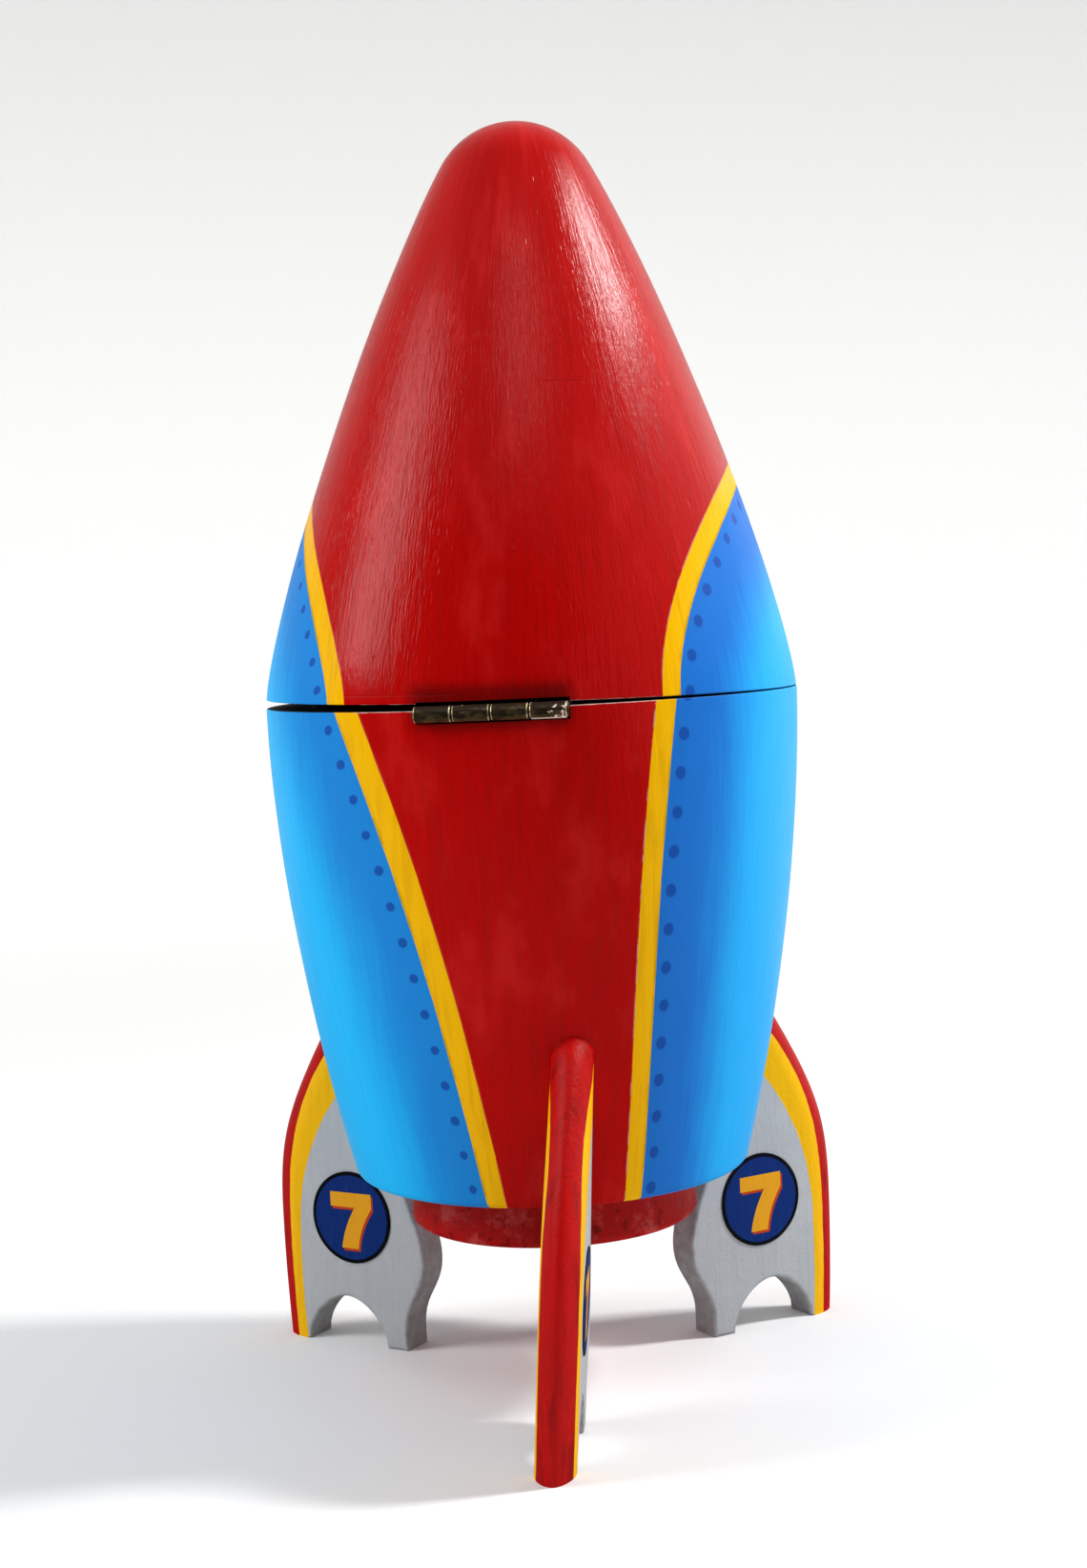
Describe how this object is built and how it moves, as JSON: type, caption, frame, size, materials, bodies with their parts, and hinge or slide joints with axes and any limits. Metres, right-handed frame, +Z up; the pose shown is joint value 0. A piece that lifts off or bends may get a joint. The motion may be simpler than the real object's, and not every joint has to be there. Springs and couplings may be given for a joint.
{
  "type": "painted wooden rocket box",
  "caption": "Painted wooden toy rocket that stands on fins and opens as a box: a hollow turned hull with a hollow nose cone hinged to it as a lid.",
  "frame": {"origin": "on the floor under the middle of the bounding box", "axes": "+Z up along the rocket towards its nose, -Y towards the hinge and the rear fin, +X to the right as seen from the hinge side"},
  "size_m": [0.107, 0.1094, 0.2259],
  "materials": {
    "hull_paint": "hand-painted satin, blue and red panels with yellow stripes",
    "lid_paint": "hand-painted semi-gloss red with brush strokes",
    "nozzle_paint": "hand-painted semi-gloss red",
    "fin_paint": "hand-painted satin grey with a red and yellow outer edge",
    "dowel_wood": "bare beech",
    "number_print": "printed and varnished disc",
    "hinge_brass": "darkened brass",
    "screw_brass": "darkened brass"
  },
  "bodies": {
    "hull": {"lower_hull": "hull_paint", "engine_nozzle": "nozzle_paint", "nozzle_dowel": "dowel_wood", "fin_rear": "fin_paint", "fin_left": "fin_paint", "fin_right": "fin_paint", "fin_dowel_rear_1": "dowel_wood", "fin_dowel_rear_2": "dowel_wood", "fin_dowel_left_1": "dowel_wood", "fin_dowel_left_2": "dowel_wood", "fin_dowel_right_1": "dowel_wood", "fin_dowel_right_2": "dowel_wood", "number_disc_rear_a": "number_print", "number_disc_rear_b": "number_print", "number_disc_left_a": "number_print", "number_disc_left_b": "number_print", "number_disc_right_a": "number_print", "number_disc_right_b": "number_print", "hinge_leaf_lower": "hinge_brass", "hinge_pin": "hinge_brass", "hinge_screw_lower_1": "screw_brass", "hinge_screw_lower_2": "screw_brass"},
    "lid": {"nose_lid": "lid_paint", "hinge_leaf_upper": "hinge_brass", "hinge_screw_upper_1": "screw_brass", "hinge_screw_upper_2": "screw_brass"}
  },
  "joints": [
    {"name": "lid_hinge", "type": "hinge", "parent": "hull", "child": "lid", "pos_m": [-0.00639, -0.04085, 0.12335], "axis": [0.9912, -0.1323, 0], "range_deg": [0, 190]}
  ]
}
